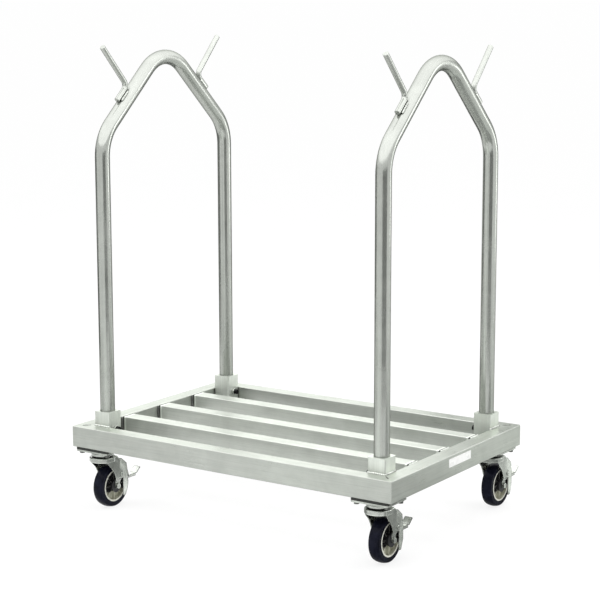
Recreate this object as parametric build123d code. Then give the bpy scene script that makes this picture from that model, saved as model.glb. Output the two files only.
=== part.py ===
from build123d import *
import os
from math import cos, radians, sin, tan

# Mat cart: a welded tube deck on four braked swivel casters, with a bent tube upright
# and two mat pegs at each end. Millimetres, +Z up, +X along the deck, -Y is the front.
# The origin is on the floor under the middle of the cart's overall box. The casters trail
# to the rear, so the deck lies forward of it. Every shape is made about the deck's middle
# and moved forward when it is written.

# How far the deck's middle lies forward of the origin
deck_forward = 50.0

# Deck frame
frame_length = 1066.8
frame_width = 722.0
rail_height = 60.0
rail_width = 46.0
rail_wall = 3.2
rail_edge_radius = 2.4
deck_rail_count = 3

# Sockets and uprights
socket_size = 54.0
socket_height = 101.6
socket_edge_radius = 4.0
pipe_radius = 21.1
pipe_wall = 3.6
pipe_clearance = 0.25
shoulder_height = 824.0
slant_angle = 42.0
shoulder_bend_radius = 124.0
peak_bend_radius = 124.0

# Mat pegs. Each foot starts this far down the slant from the peak corner
peg_foot_drops = {"front_left": 269.5, "rear_left": 241.5, "front_right": 274.5, "rear_right": 268.5}
peg_radius = 7.9
peg_weld_gap = 0.1
peg_foot_length = 60.0
peg_bend_radius = 18.0
peg_length = 152.0
peg_rise_angle = 47.0
peg_end_chamfer = 1.0

# Clamp bolts that hold the uprights in their sockets
clamp_bolt_radius = 4.75
clamp_nut_across_flats = 17.0
clamp_nut_height = 6.0
clamp_head_across_flats = 14.3
clamp_head_height = 6.4
clamp_head_standoff = 9.0
clamp_tip_gap = 0.2

# Weld beads
weld_radius = 4.0
seam_weld_radius = 3.4
seam_weld_sink = 1.9
corner_weld_radius = 2.6
corner_weld_inset = 1.6
peg_bead_radius = 4.2
peg_bead_side = 8.6
peg_bead_length_share = 0.62

# Blank label on the right end rail
label_length = 122.0
label_height = 23.0
label_thickness = 0.4
label_drop = 20.5
label_corner_radius = 2.0

# Caster mounting pad, top plate and its bolts
pad_thickness = 6.4
plate_length = 114.3
plate_width = 101.6
plate_thickness = 4.8
plate_corner_radius = 9.0
plate_inset = 11.2
bolt_spacing_x = 92.1
bolt_spacing_y = 66.7
bolt_radius = 4.75
bolt_clearance = 0.45
thread_clearance = 0.05
bolt_head_across_flats = 14.3
bolt_head_height = 6.0
bolt_edge_chamfer = 0.8
washer_radius = 9.6
washer_thickness = 2.0

# Swivel race, balls and kingpin
neck_radius = 26.0
neck_height = 6.8
race_radius = 32.0
race_height = 9.0
race_edge_radius = 2.6
race_gap = 3.0
ball_circle_radius = 22.0
ball_radius = 3.4
ball_clearance = 0.1
ball_count = 16
kingpin_radius = 6.35
kingpin_clearance = 0.06
kingpin_head_radius = 11.0
kingpin_head_height = 3.0
kingpin_nut_across_flats = 19.0
kingpin_nut_height = 7.0
kingpin_nut_gap = 0.3
kingpin_tail = 2.0

# Fork
crown_radius = 37.5
crown_skirt = 13.0
crown_edge_radius = 3.0
crown_tail = 27.0
leg_tail = 10.0
fork_steel = 3.2
fork_gap = 43.0
fork_shoulder_gap = 61.6
fork_drop = 93.5
trail = 35.0
leg_step_top = 26.5
leg_step_low = 13.5
axle_boss_radius = 8.0
rivet_boss_radius = 8.5
fork_outline_radius = 6.0

# Corners down a leg's front edge, as shares of the crown radius and of the fork drop
leg_front_shares = ((-0.45, 0.86), (-0.26, 0.74), (0.13, 0.59), (0.36, 0.43), (0.51, 0.28), (0.72, 0.14))

# Axle bolt, nut and spanner bushing
axle_radius = 4.75
axle_clearance = 0.05
axle_head_across_flats = 14.3
axle_head_height = 6.0
axle_nut_across_flats = 15.9
axle_nut_height = 9.0
axle_tail = 1.6
bushing_radius = 6.35

# Wheel
tyre_radius = 63.5
tyre_width = 32.0
tread_crown = 3.2
rim_radius = 50.0
lip_radius = 46.5
web_recess_radius = 42.0
web_thickness = 9.0
web_rib_count = 8
web_rib_thickness = 2.4
hub_radius = 17.0
hub_length = 38.0
hub_bearing_radius = 10.5
bearing_running_clearance = 0.06
bearing_end_gap = 0.3
guard_radius = 19.5
guard_gap = 0.2

# Brake lever, measured back from and down from the swivel axis at the fork crown's top
pivot_back = 43.0
pivot_drop = 58.0
lever_steel = 2.0
lever_leg_gap = 0.9
rivet_radius = 3.0
rivet_clearance = 0.06
rivet_head_radius = 5.4
rivet_head_height = 2.2
lever_boss_radius = 8.0
shoe_clearance = 3.7
shoe_angle = 37.0
shoe_width = 20.0
shoe_height = 11.0
web_stand_off = 8.6
web_low_angle = 60.0
web_high_angle = 76.0
plate_front = 54.5
plate_back = 76.0
plate_knee_height = 58.0
plate_low_height = 31.0
plate_low_back = 66.0
tongue_width = 18.0
toe_start_angle = 10.0
toe_arm_length = 32.0
toe_flange_depth = 7.0
toe_pad_width = 24.0
toe_pad_length = 25.0
toe_pad_angle = 39.0
lobe_front_angle = 93.0
lobe_front_rise = 13.5
lobe_middle_angle = 80.0
lobe_middle_rise = 9.5
lever_corner_radius = 2.5

# One overrun for every cut
overrun = 2.0

# Heights above the floor
axle_z = tyre_radius
crown_top_z = axle_z + fork_drop
race_bottom_z = crown_top_z + race_gap
race_top_z = race_bottom_z + race_height
plate_bottom_z = race_top_z + neck_height
plate_top_z = plate_bottom_z + plate_thickness
frame_bottom_z = plate_top_z + pad_thickness
deck_z = frame_bottom_z + rail_height
socket_top_z = frame_bottom_z + socket_height

# Places in plan
inner_x = frame_length / 2 - rail_width
inner_y = frame_width / 2 - rail_width
post_x = inner_x - socket_size / 2
post_y = inner_y - socket_size / 2
swivel_x = frame_length / 2 - plate_inset - plate_length / 2
swivel_y = frame_width / 2 - plate_width / 2
deck_rail_pitch = (frame_width - rail_width) / (deck_rail_count + 1)

ends = {"left": -1, "right": 1}
sides = {"front": -1, "rear": 1}


def save(node, *solids):
    """Write one node, made of one or more separate solids."""
    found = []
    for solid in solids:
        found += list(solid.solids())
    found = [Pos(0, -deck_forward, 0) * solid for solid in found]
    shape = found[0] if len(found) == 1 else Compound(children=found)
    shape.label = node
    export_step(shape, f"parts/{node}.step")


def bar_along_x(length, width, height, edge_radius):
    """A bar with rounded long edges, centred on the origin."""
    profile = Plane.YZ * RectangleRounded(width, height, edge_radius)
    return extrude(profile, amount=length / 2, both=True)


def bar_along_y(length, width, height, edge_radius):
    """The same bar, turned to run along Y."""
    return Rot(0, 0, 90) * bar_along_x(length, width, height, edge_radius)


def inside_radius():
    """Radius of a rail's inner edges."""
    return rail_edge_radius / 2


def yz_plate(points, x_low, x_high, corner_radius=0):
    """A flat plate between two X places, with its outline given as (y, z) points."""
    face = make_face(Polyline(*points, close=True))
    if corner_radius:
        face = fillet(face.vertices(), corner_radius)
    return Plane.YZ.offset(x_low) * extrude(face, amount=x_high - x_low)


def rod_along_x(radius, x_low, x_high, y, z):
    """A round rod between two X places."""
    rod = Cylinder(radius, x_high - x_low, rotation=(0, 90, 0))
    return Pos((x_low + x_high) / 2, y, z) * rod


def rod_along_y(radius, y_low, y_high, x, z):
    """A round rod between two Y places."""
    rod = Cylinder(radius, y_high - y_low, rotation=(90, 0, 0))
    return Pos(x, (y_low + y_high) / 2, z) * rod


def rod_along_z(radius, z_low, z_high, x=0, y=0):
    """A round rod between two heights."""
    return Pos(x, y, (z_low + z_high) / 2) * Cylinder(radius, z_high - z_low)


def hex_prism(across_flats, height, chamfer_length):
    """A hexagonal head or nut standing on the XY plane."""
    prism = extrude(RegularPolygon(across_flats / 2, 6, major_radius=False), amount=height)
    cone = extrude(Circle(across_flats / 2), amount=height)
    cap = extrude(Circle(across_flats / 2 + chamfer_length), amount=height)
    cap = chamfer(cap.edges().sort_by(Axis.Z)[-1], chamfer_length)
    return prism & (cap + cone)


def both_sides(solid):
    """A solid and its mirror image across the middle plane of a caster."""
    return [solid, mirror(solid, about=Plane.YZ)]


# Deck frame


def mitre_prism(end_rails):
    """The region that the mitred front and rear rails, or the end rails, may fill."""
    half_x = frame_length / 2
    half_y = frame_width / 2
    reach = inner_y
    front = [(-half_x, -half_y), (half_x, -half_y), (half_x - reach, reach - half_y), (reach - half_x, reach - half_y)]
    side = [(half_x, -half_y), (half_x, half_y), (half_x - reach, half_y - reach), (half_x - reach, reach - half_y)]
    region = extrude(make_face(Polyline(*(side if end_rails else front), close=True)), amount=deck_z)
    return region


def corner_notch(x, y):
    """A small square cut on a frame corner's vertical edge, where the weld goes."""
    side = 2 * corner_weld_inset
    height = rail_height + 2 * overrun
    middle_z = (frame_bottom_z + deck_z) / 2
    return Pos(x, y, middle_z) * Rot(0, 0, 45) * Box(side, side, height)


def rail(length, along_x, hollow=True):
    """A square-cut rail at deck height, centred in plan."""
    make = bar_along_x if along_x else bar_along_y
    body = make(length, rail_width, rail_height, rail_edge_radius)
    if hollow:
        bore_width = rail_width - 2 * rail_wall
        bore_height = rail_height - 2 * rail_wall
        body -= make(length + overrun, bore_width, bore_height, inside_radius())
    return Pos(0, 0, frame_bottom_z + rail_height / 2) * body


def long_rail(side, hollow=True):
    """The front (-1) or rear (+1) rail with mitred ends."""
    centre_y = frame_width / 2 - rail_width / 2
    body = Pos(0, -centre_y, 0) * rail(frame_length, True, hollow)
    body &= mitre_prism(False)
    for end in ends.values():
        body -= corner_notch(end * frame_length / 2, -frame_width / 2)
    return body if side < 0 else mirror(body, about=Plane.XZ)


def end_rail(end, hollow=True):
    """The left (-1) or right (+1) end rail with mitred ends."""
    centre_x = frame_length / 2 - rail_width / 2
    body = Pos(centre_x, 0, 0) * rail(frame_width, False, hollow)
    body &= mitre_prism(True)
    for side in sides.values():
        body -= corner_notch(frame_length / 2, side * frame_width / 2)
    return body if end > 0 else mirror(body, about=Plane.YZ)


def deck_rail_places():
    """Y places of the deck rails, from front to rear."""
    first = -frame_width / 2 + rail_width / 2
    return [first + deck_rail_pitch * (count + 1) for count in range(deck_rail_count)]


def deck_rail(y, hollow=True):
    """One deck rail between the end rails."""
    return Pos(0, y, 0) * rail(2 * inner_x, True, hollow)


def socket_block(end, side):
    """Outer shape of the square socket in one corner."""
    block = extrude(RectangleRounded(socket_size, socket_size, socket_edge_radius), amount=socket_height)
    return Pos(end * post_x, side * post_y, frame_bottom_z) * block


def clamp_z():
    """Height of the clamp bolts, at the middle of the sockets."""
    return frame_bottom_z + socket_height / 2


def socket(end, side):
    """Square socket with a round bore for the pipe and a side hole for its clamp bolt."""
    body = socket_block(end, side)
    bore = rod_along_z(pipe_radius + pipe_clearance, frame_bottom_z - overrun, socket_top_z + overrun)
    body -= Pos(end * post_x, side * post_y, 0) * bore
    tapped = rod_along_x(clamp_bolt_radius + thread_clearance, 0, socket_size, 0, clamp_z())
    if end > 0:
        tapped = mirror(tapped, about=Plane.YZ)
    return body - Pos(end * post_x, side * post_y, 0) * tapped


def clamp_bolt(end, side):
    """Hex bolt and its lock nut, pointing at the pipe from the inner side of the socket."""
    face = socket_size / 2
    tip = pipe_radius + clamp_tip_gap
    head_from = face + clamp_head_standoff
    shank = rod_along_x(clamp_bolt_radius, tip, head_from, 0, 0)
    head = Pos(head_from, 0, 0) * Rot(0, 90, 0)
    head *= hex_prism(clamp_head_across_flats, clamp_head_height, bolt_edge_chamfer)
    nut = Pos(face, 0, 0) * Rot(0, 90, 0)
    nut *= hex_prism(clamp_nut_across_flats, clamp_nut_height, bolt_edge_chamfer)
    nut -= rod_along_x(clamp_bolt_radius + thread_clearance, 0, head_from, 0, 0)
    pieces = [shank + head, nut]
    if end > 0:
        pieces = [mirror(piece, about=Plane.YZ) for piece in pieces]
    place = Pos(end * post_x, side * post_y, clamp_z())
    return [place * piece for piece in pieces]


def frame_weld_beads():
    """Beads at the deck rails' ends, round the sockets and down the frame's corners."""
    rails = [long_rail(side, False) for side in sides.values()]
    rails += [end_rail(end, False) for end in ends.values()]
    deck_rails = [deck_rail(y, False) for y in deck_rail_places()]
    above_edge = deck_z - rail_edge_radius
    beads = []
    for end in ends.values():
        for y, carrier in zip(deck_rail_places(), deck_rails):
            half = rail_width / 2
            x = end * inner_x
            seam = rod_along_y(seam_weld_radius, y - half, y + half, x, deck_z - seam_weld_sink)
            cap = Pos(x, y, above_edge + rail_height / 2) * Box(rail_width, 2 * rail_width, rail_height)
            cap &= Pos(x + end * rail_width / 2, y, deck_z) * Box(rail_width, rail_width, rail_height)
            beads.append((seam & cap) - carrier - rails[2] - rails[3])
            for edge in (-half, half):
                fillet_bead = rod_along_z(weld_radius, frame_bottom_z, above_edge, x, y + edge)
                beads.append(fillet_bead - carrier - rails[2] - rails[3])
    for end in ends.values():
        for side in sides.values():
            block = socket_block(end, side)
            near_x = end * post_x
            near_y = side * post_y
            half = socket_size / 2
            along_x = rod_along_x(weld_radius, near_x - half, near_x + half, side * inner_y, deck_z)
            along_y = rod_along_y(weld_radius, near_y - half, near_y + half, end * inner_x, deck_z)
            above = Pos(near_x, near_y, deck_z - rail_edge_radius + socket_size)
            above *= Box(2 * socket_size, 2 * socket_size, 2 * socket_size)
            corner = (along_x + along_y) & above
            for carrier in [block] + rails:
                corner -= carrier
            beads.append(corner)
            post = rod_along_z(corner_weld_radius, frame_bottom_z, deck_z - rail_edge_radius)
            inset = corner_weld_inset
            corner_x = end * (frame_length / 2 - inset)
            corner_y = side * (frame_width / 2 - inset)
            post = Pos(corner_x, corner_y, 0) * post
            for carrier in rails:
                post -= carrier
            inside = Pos(0, 0, deck_z / 2) * Box(frame_length, frame_width, deck_z)
            beads.append(post & inside)
    return beads


# Uprights


def slant_length():
    """Length of a slant between its shoulder corner and the peak corner."""
    return post_y / cos(radians(slant_angle))


def slant_point(distance, offset=0):
    """(y, z) of a point on the rear slant, measured from the shoulder and off to the outer side."""
    angle = radians(slant_angle)
    y = post_y - distance * cos(angle) + offset * sin(angle)
    z = deck_z + shoulder_height + distance * sin(angle) + offset * cos(angle)
    return y, z


def upright_path():
    """Centre line of an upright in its own YZ plane."""
    shoulder_z = deck_z + shoulder_height
    peak_z = shoulder_z + post_y * tan(radians(slant_angle))
    points = [(-post_y, frame_bottom_z), (-post_y, shoulder_z), (0, peak_z), (post_y, shoulder_z)]
    points.append((post_y, frame_bottom_z))
    radii = [shoulder_bend_radius, peak_bend_radius, shoulder_bend_radius]
    return Plane.YZ * FilletPolyline(*points, radius=radii)


def swept_round(path, radius):
    """A round bar along a path."""
    start = Plane(origin=path @ 0, z_dir=path % 0)
    return sweep(start * Circle(radius), path=path)


def upright(end):
    """A bent pipe with both legs down in their sockets."""
    path = upright_path()
    pipe = swept_round(path, pipe_radius) - swept_round(path, pipe_radius - pipe_wall)
    return Pos(end * post_x, 0, 0) * pipe


def peg(side, foot_start):
    """A bent round rod whose foot lies on the outer side of the slant."""
    offset = pipe_radius + peg_radius + peg_weld_gap
    foot = slant_point(foot_start, offset)
    bend = slant_point(foot_start + peg_foot_length, offset)
    rise = radians(peg_rise_angle)
    tip = (bend[0] + peg_length * cos(rise), bend[1] + peg_length * sin(rise))
    path = Plane.YZ * FilletPolyline(foot, bend, tip, radius=[peg_bend_radius])
    rod = swept_round(path, peg_radius)
    ends_only = rod.edges().filter_by(GeomType.CIRCLE).sort_by(Axis.Z)
    rod = chamfer([ends_only[0], ends_only[-1]], peg_end_chamfer)
    return rod if side > 0 else mirror(rod, about=Plane.XZ)


def peg_beads(side, foot_start):
    """Weld beads in the two crevices between a peg's foot and the pipe."""
    offset = pipe_radius
    length = peg_foot_length * peg_bead_length_share
    middle = foot_start + peg_foot_length / 2 - peg_radius / 2
    y, z = slant_point(middle, offset)
    pipe_y, pipe_z = slant_point(middle)
    peg_y, peg_z = slant_point(middle, pipe_radius + peg_radius + peg_weld_gap)
    turn = Rot(90 - slant_angle, 0, 0)
    pipe = Pos(0, pipe_y, pipe_z) * turn * Cylinder(pipe_radius, 2 * peg_foot_length)
    foot = Pos(0, peg_y, peg_z) * turn * Cylinder(peg_radius, 2 * peg_foot_length)
    beads = []
    for lateral in (-1, 1):
        blob = round_ended_rod(peg_bead_radius, length)
        beads.append(Pos(lateral * peg_bead_side, y, z) * turn * blob - pipe - foot)
    if side < 0:
        beads = [mirror(bead, about=Plane.XZ) for bead in beads]
    return beads


def round_ended_rod(radius, length):
    """A rod with round ends, along Z."""
    half = (length - 2 * radius) / 2
    rod = Cylinder(radius, 2 * half)
    return rod + Pos(0, 0, half) * Sphere(radius) + Pos(0, 0, -half) * Sphere(radius)


# Label


def blank_label():
    """A plain label on the outer face of the right end rail."""
    face = Plane.YZ * RectangleRounded(label_length, label_height, label_corner_radius)
    plate = extrude(face, amount=label_thickness)
    return Pos(frame_length / 2, 0, deck_z - label_drop) * plate


# Casters. Each shape is made about its own swivel axis and then set in its corner


def bolt_places():
    """(x, y) of the four bolts of a plate."""
    return [(x * bolt_spacing_x / 2, y * bolt_spacing_y / 2) for x in (-1, 1) for y in (-1, 1)]


def caster_pad():
    """Pad welded under the frame corner, tapped for the caster's bolts."""
    outline = RectangleRounded(plate_length, plate_width, plate_corner_radius)
    pad = Pos(0, 0, plate_top_z) * extrude(outline, amount=pad_thickness)
    for x, y in bolt_places():
        hole_radius = bolt_radius + thread_clearance
        pad -= rod_along_z(hole_radius, plate_top_z - overrun, frame_bottom_z + overrun, x, y)
    return pad


def caster_plate():
    """Top plate with its neck and race ring, bored for the kingpin."""
    outline = RectangleRounded(plate_length, plate_width, plate_corner_radius)
    plate = Pos(0, 0, plate_bottom_z) * extrude(outline, amount=plate_thickness)
    plate += rod_along_z(neck_radius, race_top_z, plate_bottom_z)
    ring = rod_along_z(race_radius, race_bottom_z, race_top_z)
    plate += fillet(ring.edges().filter_by(GeomType.CIRCLE), race_edge_radius)
    for x, y in bolt_places():
        hole_radius = bolt_radius + bolt_clearance
        plate -= rod_along_z(hole_radius, plate_bottom_z - overrun, plate_top_z + overrun, x, y)
    plate -= rod_along_z(kingpin_radius, race_bottom_z - overrun, plate_top_z + overrun)
    plate -= rod_along_z(kingpin_head_radius, plate_top_z - kingpin_head_height, plate_top_z + overrun)
    return plate - ball_groove()


def ball_groove():
    """The ring-shaped groove that the balls run in."""
    return Pos(0, 0, ball_z()) * Torus(ball_circle_radius, ball_radius + ball_clearance)


def ball_z():
    """Height of the ball centres, in the middle of the race gap."""
    return crown_top_z + race_gap / 2


def swivel_balls():
    """The ring of balls between the plate's race and the fork's crown."""
    balls = []
    for count in range(ball_count):
        turn = Rot(0, 0, count * 360 / ball_count)
        balls.append(turn * Pos(ball_circle_radius, 0, ball_z()) * Sphere(ball_radius))
    return balls


def kingpin():
    """Kingpin with a flat head sunk in the plate, and the nut under the fork's crown."""
    nut_top = crown_top_z - fork_steel - kingpin_nut_gap
    nut_bottom = nut_top - kingpin_nut_height
    pin = rod_along_z(kingpin_radius, nut_bottom - kingpin_tail, plate_top_z)
    pin += rod_along_z(kingpin_head_radius, plate_top_z - kingpin_head_height, plate_top_z)
    nut = hex_prism(kingpin_nut_across_flats, kingpin_nut_height, bolt_edge_chamfer)
    nut = Pos(0, 0, nut_bottom) * nut
    nut -= rod_along_z(kingpin_radius + thread_clearance, nut_bottom - overrun, nut_top + overrun)
    return [pin, nut]


def plate_bolts():
    """Four hex bolts, from below through the plate into the tapped pad."""
    bolts = []
    head_top = plate_bottom_z - washer_thickness
    for x, y in bolt_places():
        head = Pos(0, 0, head_top) * Rot(180, 0, 0)
        head *= hex_prism(bolt_head_across_flats, bolt_head_height, bolt_edge_chamfer)
        bolts.append(Pos(x, y, 0) * (head + rod_along_z(bolt_radius, head_top, frame_bottom_z)))
    return bolts


def plate_washers():
    """A washer under each bolt head."""
    washers = []
    for x, y in bolt_places():
        low = plate_bottom_z - washer_thickness
        washer = rod_along_z(washer_radius, low, plate_bottom_z, x, y)
        hole = rod_along_z(bolt_radius + thread_clearance, low - overrun, plate_bottom_z + overrun, x, y)
        washers.append(washer - hole)
    return washers


def pivot_z():
    """Height of the brake rivets."""
    return crown_top_z - pivot_drop


def leg_inner():
    """X of a fork leg's inner face."""
    return fork_gap / 2


def leg_outer():
    """X of a fork leg's outer face."""
    return fork_gap / 2 + fork_steel


def shoulder_inner():
    """X of a leg's inner face up at the crown."""
    return fork_shoulder_gap / 2


def shoulder_outer():
    """X of a leg's outer face up at the crown."""
    return fork_shoulder_gap / 2 + fork_steel


def crown_outline(inset):
    """Plan outline of the fork's crown: a circle that runs back into the two legs."""
    circle = Circle(crown_radius - inset)
    tail_length = crown_tail - inset
    tail = Pos(0, tail_length / 2) * Rectangle(2 * (shoulder_outer() - inset), tail_length)
    return circle + tail


def fork_crown():
    """Pressed crown, a shallow cup turned down."""
    crown = Pos(0, 0, crown_top_z - crown_skirt) * extrude(crown_outline(0), amount=crown_skirt)
    top_edges = crown.edges().group_by(Axis.Z)[-1]
    crown = fillet(top_edges, crown_edge_radius)
    pocket_height = crown_skirt - fork_steel
    pocket = extrude(crown_outline(fork_steel), amount=pocket_height + overrun)
    crown -= Pos(0, 0, crown_top_z - crown_skirt - overrun) * pocket
    low = crown_top_z - crown_skirt - overrun
    crown -= rod_along_z(kingpin_radius + kingpin_clearance, low, crown_top_z + overrun)
    return crown - ball_groove()


def leg_sheet():
    """A leg's sheet seen from the front: wide at the crown, then stepped in to the axle."""
    top = crown_top_z - fork_steel
    step_top = axle_z + leg_step_top
    step_low = axle_z + leg_step_low
    low = axle_z - 2 * axle_boss_radius
    points = [
        (shoulder_outer(), top),
        (shoulder_outer(), step_top),
        (leg_outer(), step_low),
        (leg_outer(), low),
        (leg_inner(), low),
        (leg_inner(), step_low),
        (shoulder_inner(), step_top),
        (shoulder_inner(), top),
    ]
    face = Plane.XZ * make_face(Polyline(*points, close=True))
    return extrude(face, amount=3 * crown_radius, both=True)


def fork_leg():
    """One leg, swept back from the crown to the axle, with a lobe for the brake rivet."""
    top = crown_top_z - fork_steel
    front = [(back * crown_radius, axle_z + up * fork_drop) for back, up in leg_front_shares]
    lobe_back = pivot_back + rivet_boss_radius
    points = [
        (front[0][0], top),
        *front,
        (trail - axle_boss_radius, axle_z),
        (trail + axle_boss_radius, axle_z),
        (lobe_back, pivot_z() - rivet_boss_radius),
        (lobe_back, pivot_z() + rivet_boss_radius),
        (crown_tail + leg_tail, pivot_z() + 2 * rivet_boss_radius),
        (crown_tail + leg_tail, crown_top_z - crown_skirt),
        (crown_tail, top),
    ]
    outline = yz_plate(points, 0, 2 * crown_radius)
    corners = outline.edges().filter_by(Axis.X).sort_by(Axis.Z)
    outline = fillet(corners[2:-2], fork_outline_radius)
    leg = leg_sheet() & outline
    leg += rod_along_x(axle_boss_radius, leg_inner(), leg_outer(), trail, axle_z)
    leg -= rod_along_x(axle_radius + axle_clearance, 0, 2 * leg_outer(), trail, axle_z)
    leg -= rod_along_x(rivet_radius, 0, 2 * shoulder_outer(), pivot_back, pivot_z())
    return leg


def fork():
    """Crown and legs, one pressing."""
    body = fork_crown()
    for leg in both_sides(fork_leg()):
        body += leg
    return body


def axle_set():
    """Axle bolt, nut and the spanner bushing that the wheel turns on."""
    outer = leg_outer()
    shank = rod_along_x(axle_radius, -outer - axle_nut_height - axle_tail, outer, trail, axle_z)
    head = Pos(outer, trail, axle_z) * Rot(0, 90, 0)
    head *= hex_prism(axle_head_across_flats, axle_head_height, bolt_edge_chamfer)
    nut = Pos(-outer, trail, axle_z) * Rot(0, -90, 0)
    nut *= hex_prism(axle_nut_across_flats, axle_nut_height, bolt_edge_chamfer)
    nut -= rod_along_x(axle_radius + thread_clearance, -2 * outer, 0, trail, axle_z)
    bushing = rod_along_x(bushing_radius, -leg_inner(), leg_inner(), trail, axle_z)
    bushing -= rod_along_x(axle_radius + axle_clearance, -outer, outer, trail, axle_z)
    return [shank + head, nut, bushing]


def turned(points):
    """A body turned about the wheel's axle, from (radius, x) points."""
    outline = make_face(Polyline(*[(x, radius) for radius, x in points], close=True))
    body = revolve(outline, Axis.X)
    return Pos(0, trail, axle_z) * body


def tyre():
    """Tyre with a crowned tread, bonded on the core's rim."""
    half = tyre_width / 2
    tread = ThreePointArc((-half, tyre_radius - tread_crown), (0, tyre_radius), (half, tyre_radius - tread_crown))
    walls = Polyline(
        (half, tyre_radius - tread_crown),
        (half, lip_radius),
        (half - lip_depth(), lip_radius),
        (half - lip_depth(), rim_radius),
        (lip_depth() - half, rim_radius),
        (lip_depth() - half, lip_radius),
        (-half, lip_radius),
        (-half, tyre_radius - tread_crown),
    )
    body = revolve(make_face(tread + walls), Axis.X)
    shoulder = body.edges().filter_by(GeomType.CIRCLE).group_by(lambda edge: edge.radius)[-1]
    body = fillet(shoulder, tread_crown)
    return Pos(0, trail, axle_z) * body


def lip_depth():
    """How far the core's lip reaches into the tyre's side."""
    return (rim_radius - lip_radius) / 2


def wheel_core():
    """Moulded core: rim with side lips, recessed ribbed web and hub."""
    half = tyre_width / 2
    rim_half = half - lip_depth()
    rim = turned([(rim_radius, -rim_half), (rim_radius, rim_half), (lip_radius, rim_half), (lip_radius, half),
                  (web_recess_radius, half), (web_recess_radius, -half), (lip_radius, -half),
                  (lip_radius, -rim_half)])
    web_half = web_thickness / 2
    web = turned([(hub_radius - overrun, -web_half), (hub_radius - overrun, web_half),
                  (web_recess_radius + overrun, web_half), (web_recess_radius + overrun, -web_half)])
    hub = turned([(0, -hub_length / 2), (0, hub_length / 2), (hub_radius, hub_length / 2),
                  (hub_radius, -hub_length / 2)])
    core = rim + web + hub
    rib_half = half - rib_recess()
    for count in range(web_rib_count):
        rib_length = web_recess_radius - hub_radius + 2 * overrun
        rib = Box(2 * rib_half, web_rib_thickness, rib_length)
        rib = Pos(0, 0, (web_recess_radius + hub_radius) / 2) * rib
        core += Pos(0, trail, axle_z) * Rot(count * 360 / web_rib_count, 0, 0) * rib
    return core - rod_along_x(hub_bearing_radius, -hub_length, hub_length, trail, axle_z)


def rib_recess():
    """How far the ribs stay below the core's side."""
    return web_thickness / 2


def hub_bearing():
    """Sleeve bearing in the hub and a thread guard on each side of it."""
    bore_radius = bushing_radius + bearing_running_clearance
    half = leg_inner() - bearing_end_gap
    sleeve = rod_along_x(hub_bearing_radius, -half, half, trail, axle_z)
    sleeve -= rod_along_x(bore_radius, -fork_gap, fork_gap, trail, axle_z)
    guard = rod_along_x(guard_radius, hub_length / 2, leg_inner() - guard_gap - bearing_end_gap, trail, axle_z)
    guard -= rod_along_x(hub_bearing_radius, 0, fork_gap, trail, axle_z)
    return [sleeve] + both_sides(guard)


# Brake


def around_axle(radius, angle):
    """(y, z) of a point at a radius from the axle, at an angle above the rearward level."""
    return trail + radius * cos(radians(angle)), axle_z + radius * sin(radians(angle))


def lever_outer():
    """X of the outer faces of the lever's side plates."""
    return shoulder_inner() - lever_leg_gap


def lever_side_plate():
    """One side plate of the brake lever, from its lobe down past the rear of the wheel."""
    clear = tyre_radius + web_stand_off
    boss = lever_boss_radius
    points = [
        (pivot_back - boss, pivot_z() - boss),
        (pivot_back - boss, pivot_z() + boss),
        around_axle(clear + lobe_front_rise, lobe_front_angle),
        around_axle(clear + lobe_middle_rise, lobe_middle_angle),
        around_axle(clear, web_low_angle),
        (plate_back, pivot_z()),
        (plate_back, plate_knee_height),
        (plate_low_back, plate_low_height),
        (plate_front, plate_low_height),
        (plate_front, pivot_z() - boss),
    ]
    inner = lever_outer() - lever_steel
    plate = yz_plate(points, inner, lever_outer(), lever_corner_radius)
    plate -= rod_along_x(rivet_radius + rivet_clearance, 0, fork_shoulder_gap, pivot_back, pivot_z())
    return plate


def web_strip(low, high, half_width):
    """A strip bent round the tyre between two angles."""
    inner = tyre_radius + web_stand_off - lever_steel
    outer = tyre_radius + web_stand_off
    middle = (low + high) / 2
    inner_arc = ThreePointArc(around_axle(inner, low), around_axle(inner, middle), around_axle(inner, high))
    outer_arc = ThreePointArc(around_axle(outer, low), around_axle(outer, middle), around_axle(outer, high))
    low_line = Line(around_axle(inner, low), around_axle(outer, low))
    high_line = Line(around_axle(inner, high), around_axle(outer, high))
    face = make_face(inner_arc + outer_arc + low_line + high_line)
    return Plane.YZ.offset(-half_width) * extrude(face, amount=2 * half_width)


def lever_web():
    """Curved web that joins the side plates over the wheel, with the tongue that runs on to the toe."""
    web = web_strip(web_low_angle, web_high_angle, lever_outer())
    return web + web_strip(toe_start_angle, web_high_angle, tongue_width / 2)


def lever_shoe():
    """Shoe under the web that meets the tread when the brake is on."""
    inner = tyre_radius + shoe_clearance
    outer = tyre_radius + web_stand_off - lever_steel / 2
    shoe = Box(shoe_width, outer - inner, shoe_height)
    shoe = Pos(0, (inner + outer) / 2, 0) * shoe
    return Pos(0, trail, axle_z) * Rot(shoe_angle, 0, 0) * shoe


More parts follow.
